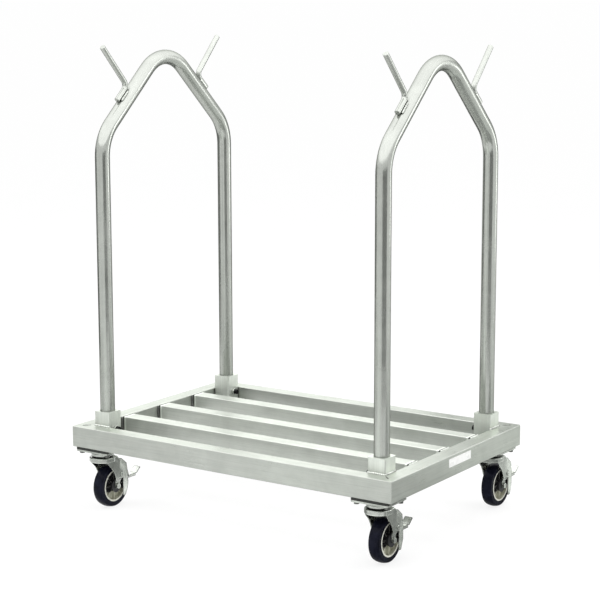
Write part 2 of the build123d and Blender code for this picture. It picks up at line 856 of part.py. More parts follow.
def lever_toe():
    """Level arm and turned-up toe pad that reach back from the tongue."""
    y, z = around_axle(tyre_radius + web_stand_off - lever_steel / 2, toe_start_angle)
    arm = Box(tongue_width, toe_arm_length, lever_steel)
    arm = Pos(0, toe_arm_length / 2, 0) * arm
    flange = Box(lever_steel, toe_arm_length, toe_flange_depth)
    flange_x = (tongue_width - lever_steel) / 2
    for flange_side in (-1, 1):
        arm += Pos(flange_side * flange_x, toe_arm_length / 2, -toe_flange_depth / 2) * flange
    pad = Box(toe_pad_width, toe_pad_length, lever_steel)
    pad = fillet(pad.edges().filter_by(Axis.Z), lever_corner_radius)
    pad = Pos(0, toe_pad_length / 2, 0) * pad
    lip = Box(toe_pad_width - 2 * lever_corner_radius, lever_steel, 2 * lever_steel)
    pad += Pos(0, toe_pad_length - lever_steel / 2, -lever_steel) * lip
    arm += Pos(0, toe_arm_length, 0) * Rot(toe_pad_angle, 0, 0) * pad
    return Pos(0, y, z) * arm


def brake_lever():
    """The whole lever, one pressing on two rivets."""
    body = lever_web() + lever_shoe() + lever_toe()
    for piece in both_sides(lever_side_plate()):
        body += piece
    return body


def brake_rivets():
    """A rivet through each fork leg that the lever turns on."""
    outer = shoulder_outer()
    rivet = rod_along_x(rivet_radius, lever_outer() - lever_steel, outer, pivot_back, pivot_z())
    head = rod_along_x(rivet_head_radius, outer, outer + rivet_head_height, pivot_back, pivot_z())
    head = fillet(head.edges().filter_by(GeomType.CIRCLE).sort_by(Axis.X)[-1], rivet_head_height / 2)
    return both_sides(rivet + head)


# Write every node

os.makedirs("parts", exist_ok=True)

for side_name, side in sides.items():
    save(f"{side_name}_rail", long_rail(side))
for end_name, end in ends.items():
    save(f"{end_name}_end_rail", end_rail(end))
deck_rail_names = ["front_deck_rail", "middle_deck_rail", "rear_deck_rail"]
for node, y in zip(deck_rail_names, deck_rail_places()):
    save(node, deck_rail(y))
save("frame_weld_beads", *frame_weld_beads())

clamp_bolts = []
peg_weld_beads = []
for end_name, end in ends.items():
    save(f"{end_name}_upright", upright(end))
    pegs = []
    for side_name, side in sides.items():
        corner = f"{side_name}_{end_name}"
        foot_start = slant_length() - peg_foot_drops[corner]
        save(f"{corner}_socket", socket(end, side))
        clamp_bolts += clamp_bolt(end, side)
        pegs.append(Pos(end * post_x, 0, 0) * peg(side, foot_start))
        peg_weld_beads += [Pos(end * post_x, 0, 0) * bead for bead in peg_beads(side, foot_start)]
    save(f"{end_name}_mat_pegs", *pegs)
save("upright_clamp_bolts", *clamp_bolts)
save("peg_weld_beads", *peg_weld_beads)
save("blank_label", blank_label())

pads = []
kingpins = []
bolts = []
washers = []
for side_name, side in sides.items():
    for end_name, end in ends.items():
        corner = f"{side_name}_{end_name}"
        place = Pos(end * swivel_x, side * swivel_y, 0)
        pads.append(place * caster_pad())
        kingpins += [place * piece for piece in kingpin()]
        bolts += [place * piece for piece in plate_bolts()]
        washers += [place * piece for piece in plate_washers()]
        save(f"{corner}_caster_plate", place * caster_plate())
        save(f"{corner}_swivel_balls", *[place * ball for ball in swivel_balls()])
        save(f"{corner}_fork", place * fork())
        save(f"{corner}_axle_set", *[place * piece for piece in axle_set()])
        save(f"{corner}_brake_rivets", *[place * piece for piece in brake_rivets()])
        save(f"{corner}_brake_lever", place * brake_lever())
        save(f"{corner}_tyre", place * tyre())
        save(f"{corner}_wheel_core", place * wheel_core())
        save(f"{corner}_hub_bearing", *[place * piece for piece in hub_bearing()])
save("caster_pads", *pads)
save("kingpins", *kingpins)
save("caster_bolts", *bolts)
save("caster_washers", *washers)
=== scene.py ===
import math

import bmesh
import bpy
from mathutils import Matrix, Vector


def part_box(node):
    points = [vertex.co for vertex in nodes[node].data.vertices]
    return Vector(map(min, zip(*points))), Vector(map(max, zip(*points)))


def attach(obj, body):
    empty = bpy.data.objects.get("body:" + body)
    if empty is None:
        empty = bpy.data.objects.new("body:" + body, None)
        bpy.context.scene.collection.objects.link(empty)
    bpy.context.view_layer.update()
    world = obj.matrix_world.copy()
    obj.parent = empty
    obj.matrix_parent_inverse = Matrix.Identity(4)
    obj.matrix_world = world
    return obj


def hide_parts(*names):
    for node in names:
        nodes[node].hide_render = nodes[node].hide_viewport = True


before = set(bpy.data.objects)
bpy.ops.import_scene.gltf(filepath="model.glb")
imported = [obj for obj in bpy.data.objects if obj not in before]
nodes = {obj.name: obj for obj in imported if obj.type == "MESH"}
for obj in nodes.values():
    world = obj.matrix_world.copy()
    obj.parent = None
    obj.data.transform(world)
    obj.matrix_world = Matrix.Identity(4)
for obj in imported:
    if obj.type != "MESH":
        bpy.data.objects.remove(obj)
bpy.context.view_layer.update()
scene = bpy.context.scene
scene.view_settings.view_transform = "Standard"

# The deck's middle and levels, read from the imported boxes
front_low, front_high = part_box("front_rail")
rear_low, rear_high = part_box("rear_rail")
DECK_Y = (front_low.y + rear_high.y) / 2
DECK_Z = front_high.z
FRAME_Z = front_low.z
HALF_X = front_high.x
HALF_Y = (rear_high.y - front_low.y) / 2
RAIL_WIDTH = front_high.y - front_low.y
INNER_X = HALF_X - RAIL_WIDTH
INNER_Y = HALF_Y - RAIL_WIDTH
socket_low, socket_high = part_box("rear_right_socket")
POST_X = (socket_low.x + socket_high.x) / 2
POST_Y = (socket_low.y + socket_high.y) / 2 - DECK_Y
SOCKET_HALF = (socket_high.x - socket_low.x) / 2

# What repeats
CASTERS = ("front_left", "front_right", "rear_left", "rear_right")
DECK_RAILS = ("front_deck_rail", "middle_deck_rail", "rear_deck_rail")
CORNER_SIGNS = [(end, side) for end in (-1, 1) for side in (-1, 1)]

# Where the clamp bolts' ends turn black, off the sockets' inner walls, in metres
HEAD_STAND = 0.0072
HEAD_FADE = 0.0004

# The painted shadow at the deck rails' ends and the brighter strip beside it: how far they start from
# the end rails, and the shadow's depth below the top
UNDERCUT_SHADOW = 0.0055
BRIGHT_STRIP = 0.0125
END_MARK_FADE = 0.002
SHADOW_TOP = 0.020
SHADOW_FOOT = 0.060

# The wheel core's pale lip, in radii, and the lower edge of the painted shade on its web, from the
# axle's height
LIP_INSIDE = 0.0420
LIP_OUTSIDE = 0.0432
SHADE_EDGE_LOW = -0.0195
SHADE_EDGE_HIGH = -0.0160


# Materials


class Finish:
    """One procedural material, built node by node."""

    def __init__(self, name):
        self.material = bpy.data.materials.new(name)
        self.material.use_nodes = True
        self.tree = self.material.node_tree
        self.tree.nodes.clear()
        self.output = self.add("ShaderNodeOutputMaterial")
        self.shader = self.add("ShaderNodeBsdfPrincipled")
        self.join(self.shader.outputs["BSDF"], self.output.inputs["Surface"])
        self.place = self.add("ShaderNodeTexCoord")

    def add(self, kind):
        return self.tree.nodes.new(kind)

    def join(self, source, target):
        self.tree.links.new(source, target)

    def plug(self, socket, value):
        """Sets a socket to a number or colour, or links it."""
        if isinstance(value, bpy.types.NodeSocket):
            self.join(value, socket)
        else:
            socket.default_value = value

    def set(self, name, value):
        """Sets or links one of the shader's own sockets."""
        self.plug(self.shader.inputs[name], value)

    def stretched(self, source, scale):
        """Coordinates scaled apart along each axis."""
        mapping = self.add("ShaderNodeMapping")
        self.join(source, mapping.inputs["Vector"])
        mapping.inputs["Scale"].default_value = scale
        return mapping.outputs["Vector"]

    def noise(self, vector, scale, detail=4.0, roughness=0.55, distortion=0.0):
        noise = self.add("ShaderNodeTexNoise")
        self.join(vector, noise.inputs["Vector"])
        noise.inputs["Scale"].default_value = scale
        noise.inputs["Detail"].default_value = detail
        noise.inputs["Roughness"].default_value = roughness
        noise.inputs["Distortion"].default_value = distortion
        return noise.outputs["Fac"]

    def cells(self, vector, scale):
        cells = self.add("ShaderNodeTexVoronoi")
        self.join(vector, cells.inputs["Vector"])
        cells.inputs["Scale"].default_value = scale
        return cells.outputs["Color"]

    def spread(self, value, low, high, to_low, to_high):
        """Maps a value's range to another one, clamped."""
        node = self.add("ShaderNodeMapRange")
        self.join(value, node.inputs["Value"])
        node.inputs["From Min"].default_value = low
        node.inputs["From Max"].default_value = high
        node.inputs["To Min"].default_value = to_low
        node.inputs["To Max"].default_value = to_high
        return node.outputs["Result"]

    def patches(self, value, low, high, strength=1.0):
        """0 where a value is below low, rising to strength where it is beyond high."""
        return self.spread(value, low, high, 0.0, strength)

    def math(self, kind, first, second=0.0):
        node = self.add("ShaderNodeMath")
        node.operation = kind
        self.plug(node.inputs[0], first)
        self.plug(node.inputs[1], second)
        return node.outputs["Value"]

    def mix(self, share, first, second):
        """The first colour where the share is 0 and the second where it is 1."""
        node = self.add("ShaderNodeMix")
        node.data_type = "RGBA"
        self.plug(node.inputs["Factor"], share)
        colours = [socket for socket in node.inputs if socket.type == "RGBA"]
        self.plug(colours[0], first)
        self.plug(colours[1], second)
        return [socket for socket in node.outputs if socket.type == "RGBA"][0]

    def edges(self, radius, strength):
        """Strength at a sharp edge and 0 on flats, from how far the rounded normal turns."""
        flat, sharp = 1.0, 0.86
        bevel = self.add("ShaderNodeBevel")
        bevel.samples = 4
        bevel.inputs["Radius"].default_value = radius
        geometry = self.add("ShaderNodeNewGeometry")
        dot = self.add("ShaderNodeVectorMath")
        dot.operation = "DOT_PRODUCT"
        self.join(bevel.outputs["Normal"], dot.inputs[0])
        self.join(geometry.outputs["Normal"], dot.inputs[1])
        return self.patches(dot.outputs["Value"], flat, sharp, strength)

    def crevices(self, reach, strength):
        """Strength deep in a corner or gap and 0 in the open."""
        bare, hidden = 0.85, 0.25
        node = self.add("ShaderNodeAmbientOcclusion")
        node.samples = 6
        node.inputs["Distance"].default_value = reach
        return self.patches(node.outputs["AO"], bare, hidden, strength)

    def axis(self, vector, letter):
        """One coordinate of a vector."""
        node = self.add("ShaderNodeSeparateXYZ")
        self.join(vector, node.inputs["Vector"])
        return node.outputs[letter]

    def bump(self, height, distance, strength, under=None):
        node = self.add("ShaderNodeBump")
        self.join(height, node.inputs["Height"])
        node.inputs["Distance"].default_value = distance
        node.inputs["Strength"].default_value = strength
        if under is not None:
            self.join(under, node.inputs["Normal"])
        return node.outputs["Normal"]


def rgb(red, green, blue):
    return (red, green, blue, 1.0)


def metal_tint(level):
    """The greenish grey of mill-finish aluminium at a level."""
    red_share, blue_share = 0.958, 0.930
    return rgb(level * red_share, level, level * blue_share)


def aluminium(name, level, lines=None, rough=0.36, painted_end_shadows=False, grazing=1.0):
    """Satin mill finish: draw lines, cloudy oxide, handling marks, painted shade in corners, brighter
    edges.

    lines is the stretch of the draw lines in X, Y and Z, or None on round tube, where they
    follow the surface normal and so run along the tube. grazing is the level of what the
    metal mirrors along its outline.
    """
    dull, clean = metal_tint(level * 0.93), metal_tint(level * 1.06)
    line_dark, line_bright = metal_tint(level * 0.72), metal_tint(level * 1.22)
    pitted, polished = metal_tint(level * 0.6), metal_tint(min(0.95, level * 1.5))
    shaded = metal_tint(level * 0.30)
    finish = Finish(name)
    position = finish.place.outputs["Object"]
    if lines:
        drawn = finish.stretched(position, lines)
        fine = finish.noise(drawn, scale=520.0, detail=3.0)
        broad = finish.noise(drawn, scale=95.0, detail=2.0)
    else:
        around = finish.place.outputs["Normal"]
        fine = finish.noise(around, scale=60.0, roughness=0.7)
        broad = finish.noise(around, scale=8.0, detail=2.0)
    cloud = finish.noise(position, scale=16.0, detail=5.0, roughness=0.6, distortion=0.4)
    smudge = finish.noise(position, scale=4.5, detail=3.0, roughness=0.5, distortion=1.2)
    speck = finish.noise(position, scale=420.0, detail=2.0)
    base = finish.mix(finish.patches(cloud, 0.35, 0.68), dull, clean)
    base = finish.mix(finish.patches(fine, 0.42, 0.72, strength=0.40), base, line_dark)
    base = finish.mix(finish.patches(broad, 0.45, 0.75, strength=0.30), base, line_bright)
    base = finish.mix(finish.patches(speck, 0.66, 0.74, strength=0.30), base, pitted)
    base = finish.mix(finish.edges(radius=0.0016, strength=0.7), base, polished)
    # Painted shade where ambient occlusion finds corners and gaps
    base = finish.mix(finish.crevices(reach=0.014, strength=0.75), base, shaded)
    if painted_end_shadows:
        base = paint_end_shadows(finish, position, base)
    finish.set("Base Color", base)
    finish.set("Metallic", 0.85)
    finish.set("Specular Tint", metal_tint(grazing))
    marks = finish.spread(smudge, 0.40, 0.70, rough - 0.05, rough + 0.10)
    scratches = finish.spread(fine, 0.35, 0.70, -0.04, 0.07)
    finish.set("Roughness", finish.math("ADD", marks, scratches))
    grooves = finish.bump(fine, distance=0.00008, strength=0.55)
    finish.set("Normal", finish.bump(cloud, distance=0.0004, strength=0.25, under=grooves))
    return finish.material


def paint_end_shadows(finish, position, base):
    """Painted shadow in the corners at a deck rail's ends, strongest near the top, and a brighter strip
    beside it.
    """
    shadow_tone, brighter_tone = metal_tint(0.05), metal_tint(0.95)
    reach = finish.math("ABSOLUTE", finish.axis(position, "X"))
    shadow_band = finish.patches(reach, INNER_X - UNDERCUT_SHADOW - END_MARK_FADE, INNER_X - UNDERCUT_SHADOW)
    up = finish.axis(position, "Z")
    height = finish.spread(up, DECK_Z - SHADOW_FOOT, DECK_Z - SHADOW_TOP, 0.45, 1.0)
    rising = finish.patches(reach, INNER_X - BRIGHT_STRIP - END_MARK_FADE, INNER_X - BRIGHT_STRIP)
    base = finish.mix(finish.math("MULTIPLY", rising, 0.8), base, brighter_tone)
    # Painted shadow at the rail's ends, deepest near the top
    return finish.mix(finish.math("MULTIPLY", shadow_band, height), base, shadow_tone)


def weld_metal(name, low, high):
    """Ripples of weld metal between two levels, with painted shade at their toes."""
    pitted, shaded = metal_tint(low * 0.6), metal_tint(low * 0.08)
    finish = Finish(name)
    position = finish.place.outputs["Object"]
    grain = finish.noise(position, scale=650.0, roughness=0.6)
    cloud = finish.noise(position, scale=60.0, detail=3.0)
    base = finish.mix(finish.patches(cloud, 0.35, 0.65), metal_tint(low), metal_tint(high))
    base = finish.mix(finish.patches(grain, 0.60, 0.75, strength=0.5), base, pitted)
    # Painted shade at the bead's toes and corners, from ambient occlusion
    base = finish.mix(finish.crevices(reach=0.005, strength=1.0), base, shaded)
    finish.set("Base Color", base)
    finish.set("Metallic", 0.9)
    finish.set("Roughness", finish.spread(grain, 0.3, 0.7, 0.22, 0.42))
    finish.set("Normal", finish.bump(grain, distance=0.0002, strength=0.5))
    return finish.material


def zinc(name, level, rough, edge=0.92, reach=0.012, rim=0.0011, black_head=False):
    """Bright zinc plate on pressed steel: faint clouds, pressing marks, a painted tone along the edges
    and painted shade in the joints.

    edge is the level of the painted edge tone, a highlight where bright and shade where dark, rim the
    width of those, and reach the depth of the painted shade in the joints.
    """
    dull, clean = metal_tint(level * 0.74), metal_tint(level * 1.22)
    dark_cell, joint_shade = metal_tint(level * 0.6), metal_tint(0.02)
    finish = Finish(name)
    position = finish.place.outputs["Object"]
    cloud = finish.noise(position, scale=30.0, distortion=0.6)
    spangle = finish.cells(position, scale=260.0)
    grain = finish.noise(position, scale=900.0, detail=3.0)
    base = finish.mix(finish.patches(cloud, 0.35, 0.68), dull, clean)
    base = finish.mix(finish.patches(spangle, 0.2, 0.9, strength=0.16), base, dark_cell)
    # Painted highlight along the edges, painted shade instead where edge is dark
    base = finish.mix(finish.edges(rim, strength=0.9), base, metal_tint(edge))
    # Painted shade in joints and gaps, from ambient occlusion
    base = finish.mix(finish.crevices(reach, strength=0.95), base, joint_shade)
    if black_head:
        base = blacken_heads(finish, position, base)
    finish.set("Base Color", base)
    finish.set("Metallic", 0.95)
    marks = finish.spread(cloud, 0.35, 0.70, rough - 0.06, rough + 0.08)
    fine = finish.spread(grain, 0.4, 0.7, -0.03, 0.05)
    finish.set("Roughness", finish.math("ADD", marks, fine))
    finish.set("Normal", finish.bump(grain, distance=0.00005, strength=0.5))
    return finish.material


def blacken_heads(finish, position, base):
    """The clamp bolts' ends turn black where they stand off the sockets' inner walls."""
    head_x = POST_X - SOCKET_HALF - HEAD_STAND
    reach = finish.math("ABSOLUTE", finish.axis(position, "X"))
    head = finish.patches(reach, head_x + HEAD_FADE, head_x - HEAD_FADE)
    return finish.mix(head, base, rgb(0.018, 0.018, 0.02))


def rubber(name):
    """Dark solid tyre: blue-black, moulding haze and a fine matt tread."""
    black, blue_black = rgb(0.004, 0.0045, 0.009), rgb(0.010, 0.011, 0.021)
    dusty, rubbed = rgb(0.035, 0.035, 0.042), rgb(0.020, 0.021, 0.030)
    finish = Finish(name)
    position = finish.place.outputs["Object"]
    cloud = finish.noise(position, scale=45.0)
    grain = finish.noise(position, scale=1400.0, detail=3.0, roughness=0.7)
    dust = finish.noise(position, scale=160.0, detail=5.0, roughness=0.7, distortion=0.5)
    base = finish.mix(finish.patches(cloud, 0.35, 0.65), black, blue_black)
    base = finish.mix(finish.patches(dust, 0.58, 0.78, strength=0.22), base, dusty)
    base = finish.mix(finish.edges(radius=0.0012, strength=0.5), base, rubbed)
    finish.set("Base Color", base)
    finish.set("Roughness", finish.spread(cloud, 0.3, 0.7, 0.20, 0.34))
    finish.set("Specular IOR Level", 0.06)
    finish.set("Normal", finish.bump(grain, distance=0.00006, strength=0.4))
    return finish.material


def moulded(name, rough_low, rough_high):
    """A moulded plastic's texture and gloss, with its flow marks and where its edges are worn."""
    finish = Finish(name)
    position = finish.place.outputs["Object"]
    cloud = finish.noise(position, scale=38.0, roughness=0.6, distortion=0.8)
    grain = finish.noise(position, scale=1100.0, detail=3.0, roughness=0.6)
    finish.set("Roughness", finish.spread(cloud, 0.3, 0.7, rough_low, rough_high))
    finish.set("Normal", finish.bump(grain, distance=0.00008, strength=0.5))
    flow = finish.patches(cloud, 0.35, 0.65)
    return finish, flow, finish.edges(radius=0.0010, strength=0.5)


def core(name, centre):
    """Moulded wheel core: pale lip and beige web, with painted shade over the web's upper part, down to
    a level just below the axle.
    """
    finish, flow, worn = moulded(name, 0.34, 0.48)
    position = finish.place.outputs["Object"]
    across = finish.math("SUBTRACT", finish.axis(position, "Y"), centre.y)
    up = finish.math("SUBTRACT", finish.axis(position, "Z"), centre.z)
    square = finish.math("ADD", finish.math("POWER", across, 2.0), finish.math("POWER", up, 2.0))
    radius = finish.math("SQRT", square)
    inside = finish.patches(radius, LIP_OUTSIDE, LIP_INSIDE)
    # Painted shade: the web is dark above its lower edge near the axle, where the recess lies in shadow
    high = finish.patches(up, SHADE_EDGE_LOW, SHADE_EDGE_HIGH)
    beige = finish.mix(flow, rgb(0.42, 0.42, 0.33), rgb(0.52, 0.52, 0.42))
    lip = finish.mix(flow, rgb(0.66, 0.66, 0.58), rgb(0.76, 0.76, 0.68))
    shade = finish.mix(flow, rgb(0.010, 0.010, 0.012), rgb(0.022, 0.021, 0.024))
    base = finish.mix(inside, lip, finish.mix(high, beige, shade))
    finish.set("Base Color", finish.mix(worn, base, lip))
    finish.set("Specular IOR Level", 0.3)
    return finish.material


def bearing(name):
    """Dark moulded plastic of the bearings and thread guards, with paler edges."""
    finish, flow, worn = moulded(name, 0.39, 0.53)
    base = finish.mix(flow, rgb(0.010, 0.010, 0.012), rgb(0.024, 0.024, 0.027))
    finish.set("Base Color", finish.mix(worn, base, rgb(0.030, 0.030, 0.03375)))
    return finish.material


def film(name):
    """Blank white label film, faintly uneven where it was rubbed down."""
    finish = Finish(name)
    position = finish.place.outputs["Object"]
    cloud = finish.noise(position, scale=26.0, detail=3.0)
    scuff = finish.noise(finish.stretched(position, (1.0, 0.25, 1.0)), scale=260.0, detail=3.0)
    white = finish.mix(finish.patches(cloud, 0.35, 0.65), rgb(0.80, 0.81, 0.79), rgb(0.87, 0.875, 0.86))
    scuffed = finish.patches(scuff, 0.62, 0.74, strength=0.3)
    finish.set("Base Color", finish.mix(scuffed, white, rgb(0.66, 0.66, 0.65)))
    finish.set("Roughness", finish.spread(cloud, 0.3, 0.7, 0.24, 0.36))
    finish.set("Normal", finish.bump(cloud, distance=0.0003, strength=0.25))
    return finish.material


# The stretch of draw lines that run along each axis, and of a flat bar's shorter ones
ALONG_X = (0.02, 1.0, 1.0)
ALONG_Y = (1.0, 0.02, 1.0)
ALONG_Z = (1.0, 1.0, 0.02)
BAR_ALONG_X = (0.05, 1.0, 1.0)

bead_metal = weld_metal("bead_metal", low=0.70, high=0.92)
# Dark beads: painted shade in the mitre seams and beside the deck rails' ends
shaded_bead_metal = weld_metal("shaded_bead_metal", low=0.10, high=0.20)
zinc_metal = zinc("zinc_metal", level=0.47, rough=0.18, edge=0.95, reach=0.016, rim=0.0042)
# Caster bolts and washers kept dark: painted shade on their heads
shaded_bolt_metal = zinc("shaded_bolt_metal", level=0.14, rough=0.34, edge=0.40, reach=0.008)

# The material of each CAD node, by how its name ends: the first that fits, or else zinc
FINISHES = [
    ("_deck_rail", aluminium("deck_metal", level=0.62, lines=ALONG_X, rough=0.42,
                             painted_end_shadows=True, grazing=0.80)),
    ("_end_rail", aluminium("end_metal", level=0.49, lines=ALONG_Y)),
    ("_rail", aluminium("rail_metal", level=0.50, lines=ALONG_X)),
    ("_socket", aluminium("socket_metal", level=0.74, lines=ALONG_Z)),
    # Pads near black: painted shade under the frame's bottom edge
    ("_pads", aluminium("shaded_pad_metal", level=0.05, lines=BAR_ALONG_X, rough=0.45)),
    ("_upright", aluminium("pipe_metal", level=0.475, rough=0.20, grazing=0.20)),
    ("_mat_pegs", aluminium("peg_metal", level=0.50, rough=0.20, grazing=0.15)),
    ("_beads", bead_metal),
    ("_label", film("label_film")),
    ("_caster_plate", zinc("plate_metal", level=0.50, rough=0.26, edge=0.80, reach=0.010)),
    # Lever: level raised as a painted reflection of the white surroundings, and near-black edges as
    # painted shade
    ("_brake_lever", zinc("lever_metal", level=0.74, rough=0.26, edge=0.02, reach=0.010, rim=0.0042)),
    ("_clamp_bolts", zinc("clamp_metal", level=0.80, rough=0.26, black_head=True)),
    ("caster_bolts", shaded_bolt_metal),
    ("caster_washers", shaded_bolt_metal),
    ("_tyre", rubber("tyre_rubber")),
    ("_bearing", bearing("bearing_plastic")),
]
for caster in CASTERS:
    low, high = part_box(f"{caster}_tyre")
    plastic = core(f"{caster}_core_plastic", (low + high) / 2)
    FINISHES.append((f"{caster}_wheel_core", plastic))


def dress(thing, material):
    thing.data.materials.clear()
    thing.data.materials.append(material)


for name, thing in nodes.items():
    fitting = [material for ending, material in FINISHES if name.endswith(ending)]
    dress(thing, fitting[0] if fitting else zinc_metal)


# Weld beads, laid as overlapping ripples, in metres

# A bead's radius, its ripples' length, and their depth as a share of the radius
SIDE_BEAD = {"radius": 0.0036, "pitch": 0.0024, "depth": 0.30}
SEAM_BEAD = {"radius": 0.0030, "pitch": 0.0050, "depth": 0.55}
TOP_BEAD = {"radius": 0.0036, "pitch": 0.0060, "depth": 0.55}
SOCKET_BEAD = {"radius": 0.0042, "pitch": 0.0060, "depth": 0.50}
CORNER_BEAD = {"radius": 0.0018, "pitch": 0.0020, "depth": 0.30}
PEG_BEAD = {"radius": 0.0036, "pitch": 0.0022, "depth": 0.30}

# Every bead: its points round, its rings along each ripple, and the fewest in all
BEAD_SIDES = 14
RIPPLE_RINGS = 6
FEWEST_RINGS = 8

# Its ends: how blunt they are, and their rounding's length and least size in radii
END_BLUNT = 0.0004
END_LENGTH = 0.9
END_SIZE = 0.12

# How far its ripples bow and wander, in ripples, and how fast they wander along it
BOW = 0.30
WANDER = 0.16
WANDER_RATE = 900.0

# Where the beads lie on the frame
SIDE_FOOT_Z = FRAME_Z + 0.001
SIDE_TOP_Z = DECK_Z - 0.0024
SEAM_Z = DECK_Z - 0.0016
SEAM_INNER_GAP = 0.008
SEAM_OUTER_GAP = 0.020
TOP_Z = DECK_Z - 0.0014
TOP_X = INNER_X + 0.0006
CORNER_INSET = 0.0019
CORNER_FOOT_Z = FRAME_Z + 0.0008
SLANT = math.radians(42.0)


def ripple_bead(form, start, end, radius, pitch, depth):
    """Adds a bead from start to end, with crescent ripples and rounded ends, to a bmesh."""
    start, end = Vector(start), Vector(end)
    along = end - start
    length = along.length
    along.normalize()
    side = along.orthogonal().normalized()
    up = along.cross(side)
    steps = max(FEWEST_RINGS, int(length / (pitch / RIPPLE_RINGS)))
    rings = []
    for step in range(steps + 1):
        place = length * step / steps
        grown = min(1.0, (min(place, length - place) + END_BLUNT) / (radius * END_LENGTH))
        taper = math.sqrt(max(0.0, 1.0 - (1.0 - grown) ** 2))
        ring = []
        for count in range(BEAD_SIDES):
            angle = 2 * math.pi * count / BEAD_SIDES
            phase = place / pitch + BOW * math.cos(angle) + WANDER * math.sin(place * WANDER_RATE)
            wave = phase - math.floor(phase)
            size = radius * max(END_SIZE, taper) * (1.0 - depth * wave ** 2)
            offset = side * math.cos(angle) * size + up * math.sin(angle) * size
            ring.append(form.verts.new(start + along * place + offset))
        rings.append(ring)
    for first, second in zip(rings, rings[1:]):
        for count in range(BEAD_SIDES):
            after = (count + 1) % BEAD_SIDES
            form.faces.new((first[count], first[after], second[after], second[count]))
    form.faces.new(list(reversed(rings[0])))
    form.faces.new(rings[-1])


def finish_beads(form, name, replaced):
    """Turns a bmesh of beads into a smooth piece that stands for a CAD node's plain ones."""
    bmesh.ops.recalc_face_normals(form, faces=form.faces[:])
    mesh = bpy.data.meshes.new(name)
    form.to_mesh(mesh)
    form.free()
    for face in mesh.polygons:
        face.use_smooth = True
    mesh.materials.append(bead_metal)
    piece = bpy.data.objects.new(name, mesh)
    scene.collection.objects.link(piece)
    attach(piece, "cart")
    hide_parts(replaced)
    return mesh


def deck_point(x, y, z):
    """A place given from the deck's middle in plan."""
    return (x, DECK_Y + y, z)


def lay_side_beads(form):
    """Up both sides of each deck rail's ends."""
    for name in DECK_RAILS:
        low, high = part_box(name)
        for end in (-1, 1):
            x = end * INNER_X
            for y in (low.y, high.y):
                ripple_bead(form, (x, y, SIDE_FOOT_Z), (x, y, SIDE_TOP_Z), **SIDE_BEAD)


def lay_seam_beads(form):
    """Short ones along the middles of the frame's mitres."""
    inner_x, inner_y = INNER_X + SEAM_INNER_GAP, INNER_Y + SEAM_INNER_GAP
    outer_x, outer_y = HALF_X - SEAM_OUTER_GAP, HALF_Y - SEAM_OUTER_GAP
    for end, side in CORNER_SIGNS:
        inner = deck_point(end * inner_x, side * inner_y, SEAM_Z)
        outer = deck_point(end * outer_x, side * outer_y, SEAM_Z)
        ripple_bead(form, inner, outer, **SEAM_BEAD)


def lay_top_beads(form):
    """Across each deck rail's top, where it meets the end rails."""
    for name in DECK_RAILS:
        low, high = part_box(name)
        for end in (-1, 1):
            x = end * TOP_X
            ripple_bead(form, (x, low.y, TOP_Z), (x, high.y, TOP_Z), **TOP_BEAD)


def lay_corner_beads(form):
    """Along two sides of each socket's foot, and down the frame's outer corner beside it."""
    for end, side in CORNER_SIGNS:
        x, y = end * POST_X, side * POST_Y
        wall_x, wall_y = end * INNER_X, side * INNER_Y
        first = deck_point(x - SOCKET_HALF, wall_y, DECK_Z)
        last = deck_point(x + SOCKET_HALF, wall_y, DECK_Z)
        ripple_bead(form, first, last, **SOCKET_BEAD)
        first = deck_point(wall_x, y - SOCKET_HALF, DECK_Z)
        last = deck_point(wall_x, y + SOCKET_HALF, DECK_Z)
        ripple_bead(form, first, last, **SOCKET_BEAD)
        corner_x, corner_y = end * (HALF_X - CORNER_INSET), side * (HALF_Y - CORNER_INSET)
        foot = deck_point(corner_x, corner_y, CORNER_FOOT_Z)
        top = deck_point(corner_x, corner_y, SIDE_TOP_Z)
        ripple_bead(form, foot, top, **CORNER_BEAD)


def lay_frame_beads():
    """Beads painted dark as shade up the deck rails' sides and along the mitres, and bright ones
    elsewhere.
    """
    form = bmesh.new()
    lay_side_beads(form)
    lay_seam_beads(form)
    shaded = len(form.faces)
    lay_top_beads(form)
    lay_corner_beads(form)
    mesh = finish_beads(form, "frame_ripple_beads", "frame_weld_beads")
    mesh.materials.append(shaded_bead_metal)
    for face in mesh.polygons[:shaded]:
        face.material_index = 1


def vertex_islands(mesh):
    """The points of each separate solid in a mesh."""
    parent = list(range(len(mesh.vertices)))

    def root(index):
        while parent[index] != index:
            parent[index] = parent[parent[index]]
            index = parent[index]
        return index

    places = {}
    for vertex in mesh.vertices:
        place = tuple(round(value, 6) for value in vertex.co)
        if place in places:
            parent[root(vertex.index)] = root(places[place])
        else:
            places[place] = vertex.index
    for edge in mesh.edges:
        parent[root(edge.vertices[0])] = root(edge.vertices[1])
    islands = {}
    for vertex in mesh.vertices:
        islands.setdefault(root(vertex.index), []).append(vertex.co.copy())
    return list(islands.values())


def lay_peg_beads():
    """Two beads at each peg's foot, along the slants, where the CAD beads lie."""
    form = bmesh.new()
    for island in vertex_islands(nodes["peg_weld_beads"].data):
        middle = sum(island, Vector()) / len(island)
        inward = -1 if middle.y > DECK_Y else 1
        slope = Vector((0.0, inward * math.cos(SLANT), math.sin(SLANT)))
        reach = [(spot - middle).dot(slope) for spot in island]
        start = middle + slope * min(reach)
        end = middle + slope * max(reach)
        ripple_bead(form, start, end, **PEG_BEAD)
    finish_beads(form, "peg_ripple_beads", "peg_weld_beads")


lay_frame_beads()
lay_peg_beads()


# Studio: white floor and surroundings, with pale and dark cards for the metal to mirror

WHITE = rgb(1.0, 1.0, 1.0)


def shown_rays(tree):
    """1 for the rays that show the background: camera, mirror and clear ones."""
    path = tree.nodes.new("ShaderNodeLightPath")
    shown = path.outputs["Is Camera Ray"]
    for kind in ("Is Glossy Ray", "Is Transmission Ray"):
        either = tree.nodes.new("ShaderNodeMath")
        either.operation = "MAXIMUM"
        tree.links.new(shown, either.inputs[0])
        tree.links.new(path.outputs[kind], either.inputs[1])
        shown = either.outputs["Value"]
    return shown


